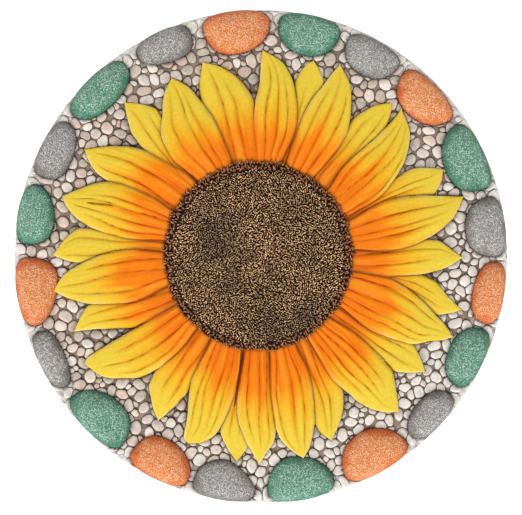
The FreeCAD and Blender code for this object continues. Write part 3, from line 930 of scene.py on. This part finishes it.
def pebble_outline(pebble, segments):
    """Outline of a rim pebble: flat along the rim, rounded and narrower towards the flower."""
    t = turn_radians(segments)
    half = math.radians(pebble.start - pebble.end) / 2 * PEBBLE_MID_RADIUS
    outward = np.sin(t) > 0
    fill = np.where(np.cos(t) > 0, pebble.start_fill, pebble.end_fill)
    bend = 2.0 / np.where(outward, PEBBLE_OUTER_FILL, fill)
    along = half * np.sign(np.cos(t)) * np.abs(np.cos(t)) ** bend
    outer = min(pebble.outer, STONE_RADIUS + PEBBLE_OVERHANG) - PEBBLE_INSET - PEBBLE_MID_RADIUS
    depth = np.where(outward, outer, PEBBLE_MID_RADIUS - pebble.inner)
    inward = depth * np.abs(np.sin(t)) ** bend * np.where(outward, 1.0, -1.0)
    middle = (pebble.start + pebble.end) / 2
    skew = math.radians(pebble.inner_angle - middle) * PEBBLE_MID_RADIUS
    along = along + np.where(outward, 0.0, skew * np.abs(np.sin(t)) ** 2)
    return polar(middle + np.degrees(along / PEBBLE_MID_RADIUS), PEBBLE_MID_RADIUS + inward)


PEBBLE_OUTLINES = [np.column_stack(pebble_outline(pebble, PEBBLE_OUTLINE_POINTS))
                   for pebble in RIM_PEBBLES]


def rim_pebble(mesh, index):
    """One rounded, slightly dented pebble, darkened by deeper paint and painted shade and less sandy
    towards its edge.
    """
    pebble = RIM_PEBBLES[index]
    light, edge, _ = PEBBLE_PAINT[pebble.colour]
    x, y = pebble_outline(pebble, PEBBLE_SEGMENTS)
    centre_x, centre_y = polar((pebble.start + pebble.end) / 2,
                               (pebble.inner + pebble.outer) / 2 + PEBBLE_CENTRE_SHIFT)
    reach = np.sin(np.linspace(math.pi / 2, PEBBLE_TOP_RING, PEBBLE_RINGS))[:, None]
    xs = centre_x + (x - centre_x) * reach * PEBBLE_SPREAD
    ys = centre_y + (y - centre_y) * reach * PEBBLE_SPREAD
    swell = np.sqrt(np.clip(1.0 - reach ** PEBBLE_SWELL, 0.0, 1.0))
    dent = DENT_DEPTH * (patchy(DENTS, xs, ys, index) - 0.5)
    zs = BED - PEBBLE_SINK + (PEBBLE_RISE + PEBBLE_SINK) * swell + dent * swell
    top = BED + PEBBLE_RISE + float(np.mean(dent[-1]))
    points = grid_points(xs, ys, zs, [centre_x, centre_y, top])
    patch = patchy(PEBBLE_PATCHES, points[:, 0], points[:, 1], index) - 0.5
    out = np.append(np.repeat(reach, PEBBLE_SEGMENTS), 0.0)
    # The deeper paint of the edge with painted shade, and a dark line of painted shade round its foot
    colours = mix(light, edge, smoothstep(*EDGE_PAINT_AND_SHADE, out + EDGE_PATCHES * patch))
    colours = mix(colours, edge * EDGE_SHADE_DARKEST, smoothstep(*EDGE_SHADE, out) * EDGE_SHADE_SHARE)
    sandy = 1.0 - SAND_LOST * smoothstep(*SAND_FADE, out + SAND_PATCHES * patch)
    mesh.add(points, np.column_stack([colours, sandy]), dome_faces(PEBBLE_RINGS, PEBBLE_SEGMENTS))


def make_rim_pebbles():
    for name, (_, _, palest) in PEBBLE_PAINT.items():
        material = painted_stone("pebble_" + name, PEBBLE_COAT, palest)
        mesh = Mesh()
        for index, pebble in enumerate(RIM_PEBBLES):
            if pebble.colour == name:
                rim_pebble(mesh, index)
        mesh.piece("rim_pebbles_" + name, material, sharp_angle=60.0)


# Bed of small pebbles

GRAVEL_COAT = Coat(0.7, 0.2, 450.0, 0.16, 1600.0, 0.3)
GRAVEL_INNER = 62.0
GRAVEL_OUTER = 124.0
GRAVEL_SEGMENTS = 16
GRAVEL_SIZES = [2.8, 2.35, 1.9, 1.4]
GRAVEL_SPREAD = (0.9, 1.15)
GRAVEL_STRETCH = (1.1, 1.75)
GRAVEL_TRIES = 9000
GRAVEL_TUCK = 1.2
GRAVEL_CLOSENESS = 0.92
GRAVEL_COVER = 0.4

# One bed pebble: shares of its reach and its rise from the foot up, with painted shade and painted light
# at those rings
GRAVEL_RINGS = np.array([1.0, 0.965, 0.89, 0.74, 0.4])
GRAVEL_LEVELS = np.array([-0.4, 0.35, 0.74, 0.94, 1.0])
GRAVEL_FOOT_SHADE_SHARES = [1.0, 0.8, 0.0, 0.0, 0.0]
GRAVEL_PAINTED_LIGHT = [1.0, 1.0, 1.1, 1.0, 0.92]
GRAVEL_TOP_PAINTED_LIGHT = 0.9
GRAVEL_RISE = (1.3, 2.3)
GRAVEL_LEAN = 0.10
GRAVEL_GROWTH = 1.2
GRAVEL_CORNERS = 12.0
GRAVEL_UNEVEN = (0.97, 1.03)
GRAVEL_NEIGHBOURS = 13.0
GRAVEL_LIFT = 0.1
GRAVEL_RIM_GAP = 0.8

GRAVEL_TONES = [paint(222, 207, 194), paint(234, 223, 212), paint(214, 191, 175), paint(202, 188, 174)]
GRAVEL_TONE_SPREAD = (0.88, 1.1)
GRAVEL_WHITE = paint(232, 225, 217)
GRAVEL_WHITE_FADE = (-40.0, 160.0)
# Painted shade at the foot of each bed pebble
GRAVEL_FOOT_SHADE = paint(58, 44, 38)
RIM_PALE = paint(230, 225, 219)
RIM_PALE_FADE = (116.0, 122.0)
PALE_MOST = 0.8
MORTAR = paint(146, 127, 112)
# Dark wash and painted shade beside shapes and in the hollows of the mortar, and dark grit specks near
# the rim
MORTAR_DARK = paint(66, 50, 43)
CONCRETE = paint(196, 187, 177)

# Dark wash and painted shade beside a shape: its share, how much that changes with the radius and how
# wide it is
WashAndShade = namedtuple("WashAndShade", "share change width")
LINE_WASH_AND_SHADE = WashAndShade(0.45, 0.3, 1.4)
SOFT_WASH_AND_SHADE = WashAndShade(0.25, 0.5, 5.0)
PEBBLE_WASH_AND_SHADE = WashAndShade(0.95, -0.4, 1.0)
DEEP_WASH_AND_SHADE_FADE = (104.0, 84.0)
RIM_WASH_AND_SHADE_FADE = (119.0, 124.0)
WASH_AND_SHADE_PATCHES = Patches(6.0, 70, 81)
WASH_AND_SHADE_MOST = 0.9


def inside_polygon(outline, x, y):
    """True for points inside a closed outline."""
    nx, ny = np.roll(outline, -1, axis=0).T
    ox, oy = outline.T
    crossing = (oy[None, :] > y[:, None]) != (ny[None, :] > y[:, None])
    with np.errstate(divide="ignore", invalid="ignore"):
        at = ox + (nx - ox) * (y[:, None] - oy) / (ny - oy)
    return np.sum(crossing & (x[:, None] < at), axis=1) % 2 == 1


def outline_gaps(points):
    """Distance from each point to the nearest petal outline and to the nearest rim pebble outline."""
    return nearest(np.concatenate(OUTLINES), points), nearest(np.concatenate(PEBBLE_OUTLINES), points)


def covered(points):
    """True for points that lie under a petal or a rim pebble."""
    x, y = points.T
    under = np.zeros(len(points), dtype=bool)
    for petal in PETALS:
        under |= inside_petal(petal, x, y)
    for outline in PEBBLE_OUTLINES:
        under |= inside_polygon(outline, x, y)
    return under


def faded(wash_and_shade, change, gap):
    return (wash_and_shade.share + wash_and_shade.change * change) * np.exp(-gap / wash_and_shade.width)


def bed_wash_and_shade(points):
    """Share of dark wash and painted shade beside petals and, less so, beside rim pebbles."""
    petal_gap, pebble_gap = outline_gaps(points)
    radius = np.hypot(*points.T)
    patch = patchy(WASH_AND_SHADE_PATCHES, points[:, 0], points[:, 1])
    deep = smoothstep(*DEEP_WASH_AND_SHADE_FADE, radius)
    wash_and_shade = faded(LINE_WASH_AND_SHADE, deep, petal_gap) + patch * faded(SOFT_WASH_AND_SHADE, deep, petal_gap)
    beside = faded(PEBBLE_WASH_AND_SHADE, smoothstep(*RIM_WASH_AND_SHADE_FADE, radius), pebble_gap)
    return np.clip(np.maximum(wash_and_shade, beside), 0.0, WASH_AND_SHADE_MOST)


def oval_reach(oval, heading):
    """Distance from an oval's centre to its edge in this direction, an oval being x, y, its two half
    lengths and the turn of the longer one."""
    tilt = heading - oval[..., 4]
    return 1.0 / np.hypot(np.cos(tilt) / oval[..., 2], np.sin(tilt) / oval[..., 3])


def packed_ovals(rng):
    """Ovals of the bed, larger ones first and smaller ones in the room that is left."""
    kept = np.zeros((0, 5))
    for size in GRAVEL_SIZES:
        radius = np.sqrt(rng.uniform(GRAVEL_INNER ** 2, GRAVEL_OUTER ** 2, GRAVEL_TRIES))
        x, y = polar(rng.uniform(0.0, 360.0, GRAVEL_TRIES), radius)
        shape = np.sqrt(rng.uniform(*GRAVEL_STRETCH, GRAVEL_TRIES))
        mean = size * rng.uniform(*GRAVEL_SPREAD, GRAVEL_TRIES)
        turn = rng.uniform(0.0, math.pi, GRAVEL_TRIES)
        ovals = np.column_stack([x, y, mean * shape, mean / shape, turn])
        centres = ovals[:, :2]
        for oval in ovals[~covered(centres) | (np.minimum(*outline_gaps(centres)) < GRAVEL_TUCK)]:
            apart = kept[:, :2] - oval[:2]
            distance = np.hypot(apart[:, 0], apart[:, 1])
            heading = np.arctan2(apart[:, 1], apart[:, 0])
            touching = oval_reach(oval, heading) + oval_reach(kept, heading)
            if np.all(distance > GRAVEL_CLOSENESS * touching):
                kept = np.vstack([kept, oval])
    return kept


def bed_stone(rng, oval, neighbours):
    """One small oval pebble, flat on top and grown into the room that its neighbours leave it."""
    turn = turn_radians(GRAVEL_SEGMENTS)
    offset = neighbours[:, :2] - oval[:2]
    heading = np.arctan2(offset[:, 1], offset[:, 0])
    own = oval_reach(oval, heading)
    crevice = np.hypot(offset[:, 0], offset[:, 1]) * own / (own + oval_reach(neighbours, heading))
    facing = np.clip(np.cos(turn[:, None] - heading[None, :]), 0.0, None)
    full = GRAVEL_GROWTH * oval_reach(oval, turn)
    crowding = np.sum((facing / crevice) ** GRAVEL_CORNERS, axis=1) + (1.0 / full) ** GRAVEL_CORNERS
    reach = crowding ** (-1.0 / GRAVEL_CORNERS) * rng.uniform(*GRAVEL_UNEVEN, GRAVEL_SEGMENTS)
    rise = rng.uniform(*GRAVEL_RISE)
    lean = rng.normal(0.0, GRAVEL_LEAN, 2)
    x = oval[0] + GRAVEL_RINGS[:, None] * reach * np.cos(turn)
    y = oval[1] + GRAVEL_RINGS[:, None] * reach * np.sin(turn)
    z = (GRAVEL_LEVELS * rise)[:, None] + lean[0] * (x - oval[0]) + lean[1] * (y - oval[1])
    points = grid_points(x, y, z, [oval[0], oval[1], rise])
    points[:, 2] += BED - MORTAR_SINK + GRAVEL_LIFT
    span = np.hypot(points[:, 0], points[:, 1])
    points[:, :2] *= np.minimum(1.0, (FACE_RADIUS - GRAVEL_RIM_GAP) / span)[:, None]
    tone = GRAVEL_TONES[rng.integers(len(GRAVEL_TONES))] * rng.uniform(*GRAVEL_TONE_SPREAD)
    white = float(smoothstep(*GRAVEL_WHITE_FADE, oval[0] - oval[1]))
    tone = mix(tone, GRAVEL_WHITE, white * PALE_MOST)
    pale = float(smoothstep(*RIM_PALE_FADE, math.hypot(oval[0], oval[1])))
    tone = mix(tone, RIM_PALE, pale * PALE_MOST)
    # Painted shade at the foot of each stone, a painted highlight on its shoulder and a little painted
    # shade on its top
    foot = np.append(np.repeat(GRAVEL_FOOT_SHADE_SHARES, GRAVEL_SEGMENTS), 0.0)
    painted_light = np.append(np.repeat(GRAVEL_PAINTED_LIGHT, GRAVEL_SEGMENTS), GRAVEL_TOP_PAINTED_LIGHT)
    return points, mix(tone * painted_light[:, None], GRAVEL_FOOT_SHADE, foot)


def make_gravel():
    material = painted_stone("gravel", GRAVEL_COAT)
    rng = np.random.default_rng(23)
    ovals = packed_ovals(rng)
    stones = []
    for oval in ovals:
        apart = np.hypot(ovals[:, 0] - oval[0], ovals[:, 1] - oval[1])
        stones.append(bed_stone(rng, oval, ovals[(apart > 0.0) & (apart < GRAVEL_NEIGHBOURS)]))
    points = np.concatenate([places for places, _ in stones])
    colours = np.concatenate([shades for _, shades in stones])
    under = covered(points[:, :2])
    points[under, 2] = np.minimum(points[under, 2], BED - GRAVEL_COVER)
    # Dark wash and painted shade beside petals and rim pebbles
    colours = mix(colours, MORTAR_DARK, bed_wash_and_shade(points[:, :2]))
    mesh = Mesh()
    for places, shades in zip(np.split(points, len(stones)), np.split(colours, len(stones))):
        mesh.add(places, shades, dome_faces(len(GRAVEL_RINGS), GRAVEL_SEGMENTS))
    mesh.piece("bed_pebbles", material, sharp_angle=70.0)


# Slab

SLAB_COAT = Coat(0.85, 0.15, 300.0, 0.12, 900.0, 0.5)
SLAB_SEGMENTS = 540
BASE_RADII = (8.0, 30.0, 55.0, 80.0, 105.0, STONE_RADIUS - FOOT_CHAMFER)
FOOT_HEIGHT = 0.8
WALL_RADIUS = STONE_RADIUS - 0.1
WALL_LEAN = 0.05
WALL_STEPS = np.linspace(0.1, 0.9, 8)
RIM_ROUND = 1.6
RIM_ANGLES = np.radians(np.linspace(0.0, 90.0, 6))
RIM_CORNER_ROWS = 2
RIM_CORNER_SHADE = 0.6
BED_RADII = np.concatenate([np.arange(124.4, 60.0, -0.8), [50.0, 30.0, 8.0]])
MORTAR_SLOPE = 2.0
BED_PATCHES = Patches(2.2, 80, 31)
BED_ROUGHNESS = 0.7
WALL_ROUGHNESS = 0.4
WALL_ROUGH_INSET = 0.15
WALL_ROUGH_TURN = 1.1
WALL_ROUGH_HEIGHT = 2.5
MORTAR_PALE_FADE = (112.0, 122.0)
MORTAR_PALE_RAG = 8.0
MORTAR_PALE_MOST = 0.95
# Dark wash and painted shade in the hollows of the mortar
HOLLOW_PART = (0.1, -0.4)
HOLLOW_WASH_AND_SHADE_SHARE = 0.35
SPECKS = Patches(1.5, 90, 35)
SPECK_PART = (0.62, 0.8)
SPECK_FADE = (116.0, 121.0)
SPECK_SHARE = 0.5


def make_slab():
    """The slab, as one turned shape: underside, wall, rounded rim and the rough mortar of the bed."""
    base = [(r, 0.0) for r in BASE_RADII]
    rim = BED - RIM_ROUND
    wall = [*base, (WALL_RADIUS, FOOT_HEIGHT)]
    wall += [(WALL_RADIUS - WALL_LEAN * t, FOOT_HEIGHT + (rim - FOOT_HEIGHT) * t) for t in WALL_STEPS]
    flat_radius = FACE_RADIUS - RIM_ROUND
    shoulder = [(flat_radius + RIM_ROUND * math.cos(a), rim + RIM_ROUND * math.sin(a))
                for a in RIM_ANGLES]
    bed = [(r, BED - MORTAR_SINK * min(1.0, (flat_radius - r) / MORTAR_SLOPE)) for r in BED_RADII]
    radius, level = np.array(wall + shoulder + bed).T
    turn = turn_degrees(SLAB_SEGMENTS)
    x, y = polar(turn[None, :], radius[:, None])
    z = np.repeat(level[:, None], SLAB_SEGMENTS, axis=1)
    row = np.arange(len(radius))[:, None]
    on_bed = row >= len(wall) + RIM_CORNER_ROWS
    on_corner = (row >= len(wall)) & ~on_bed
    on_wall = (row >= len(base)) & ~on_bed
    rough = patchy(BED_PATCHES, x, y) - 0.5
    z = z + np.where(on_bed, BED_ROUGHNESS * rough, 0.0)
    wall_rough = noise(turn[None, :] * WALL_ROUGH_TURN, z / WALL_ROUGH_HEIGHT + 30, 33) - 0.5
    swell = np.where(on_wall, WALL_ROUGHNESS * wall_rough - WALL_ROUGH_INSET, 0.0)
    swell = 1.0 + swell / radius[:, None]
    points = grid_points(x * swell, y * swell, z, [0.0, 0.0, BED - MORTAR_SINK])

    span = np.hypot(x, y)
    pale = smoothstep(*MORTAR_PALE_FADE, span + MORTAR_PALE_RAG * rough)
    tone = mix(MORTAR, RIM_PALE, pale * MORTAR_PALE_MOST)
    wash_and_shade = bed_wash_and_shade(np.column_stack([x.ravel(), y.ravel()])).reshape(x.shape)
    # Dark wash and painted shade beside petals and rim pebbles and in the hollows of the mortar
    colour = mix(tone, MORTAR_DARK, np.maximum(wash_and_shade, HOLLOW_WASH_AND_SHADE_SHARE * smoothstep(*HOLLOW_PART, rough)))
    specks = smoothstep(*SPECK_PART, patchy(SPECKS, x, y)) * smoothstep(*SPECK_FADE, span)
    colour = mix(colour, MORTAR_DARK, SPECK_SHARE * specks)
    colour = np.where(on_bed[..., None], colour, CONCRETE)
    colour = np.where(on_corner[..., None], CONCRETE * RIM_CORNER_SHADE, colour)
    colours = np.vstack([colour.reshape(-1, 3), MORTAR[None, :]])
    mesh = Mesh()
    mesh.add(points, colours, dome_faces(len(radius), SLAB_SEGMENTS))
    mesh.piece("slab", painted_stone("cast_stone", SLAB_COAT), sharp_angle=30.0)


# Stage, with lights placed in metres

FLOOR_RADIUS = 6000.0
FLOOR_SEGMENTS = 180
FLOOR_COLOUR = (0.97, 0.97, 0.97, 1.0)
WHITE = (1.0, 1.0, 1.0, 1.0)
KEY_PLACE = (-0.5, -2.1, 2.95)

# Picture size, and the middle and radius of the stone in it, in pixels
IMAGE_WIDTH = 522
IMAGE_HEIGHT = 515
STONE_PIXEL = (260.9, 256.6)
RIM_PIXELS = 247.3
LENS = 100.0
SENSOR = 36.0


def make_floor():
    """A wide level floor round the stone's foot, open under it."""
    turn = turn_degrees(FLOOR_SEGMENTS)
    radii = (STONE_RADIUS - FOOT_CHAMFER, FLOOR_RADIUS)
    rings = [polar(turn, np.full(FLOOR_SEGMENTS, radius)) for radius in radii]
    points = np.vstack([np.column_stack([x, y, np.zeros(FLOOR_SEGMENTS)]) for x, y in rings])
    data = bpy.data.meshes.new("floor")
    faces = [face[::-1] for face in ring_faces(len(radii), FLOOR_SEGMENTS)]
    data.from_pydata((points * MM).tolist(), [], faces)
    floor = placed("floor", data)
    material = bpy.data.materials.new("floor")
    material.use_nodes = True
    tree = material.node_tree
    set_inputs(tree, tree.nodes["Principled BSDF"], {
        "Base Color": FLOOR_COLOUR, "Roughness": 0.9, "Specular IOR Level": 0.1,
        "Emission Color": WHITE, "Emission Strength": 0.6})
    floor.data.materials.append(material)


def make_light():
    """An even white sky and one large key light that faces the stone."""
    world = bpy.data.worlds.new("studio")
    world.use_nodes = True
    tree = world.node_tree
    set_inputs(tree, tree.nodes["Background"], {"Color": WHITE, "Strength": 0.52})
    bpy.context.scene.world = world
    data = bpy.data.lights.new("key", "AREA")
    data.size = 1.8
    data.energy = 120.0
    lamp = placed("key", data)
    lamp.location = KEY_PLACE
    lamp.rotation_euler = (-Vector(KEY_PLACE)).to_track_quat("-Z", "Y").to_euler()
    bpy.context.scene.view_settings.view_transform = "Standard"


def make_camera():
    """Straight down, placed so that the stone has its size and place in the picture."""
    data = bpy.data.cameras.new("camera")
    data.lens = LENS
    data.sensor_width = SENSOR
    data.dof.use_dof = False
    pixel = STONE_RADIUS / RIM_PIXELS
    distance = IMAGE_WIDTH * pixel * LENS / SENSOR
    right = (IMAGE_WIDTH / 2 - STONE_PIXEL[0]) * pixel
    up = (STONE_PIXEL[1] - IMAGE_HEIGHT / 2) * pixel
    camera = placed("camera", data)
    camera.location = (right * MM, up * MM, (BED + distance) * MM)
    bpy.context.scene.camera = camera


make_slab()
make_gravel()
make_petals()
make_seed_head()
make_rim_pebbles()
make_floor()
make_light()
make_camera()

bpy.context.view_layer.update()
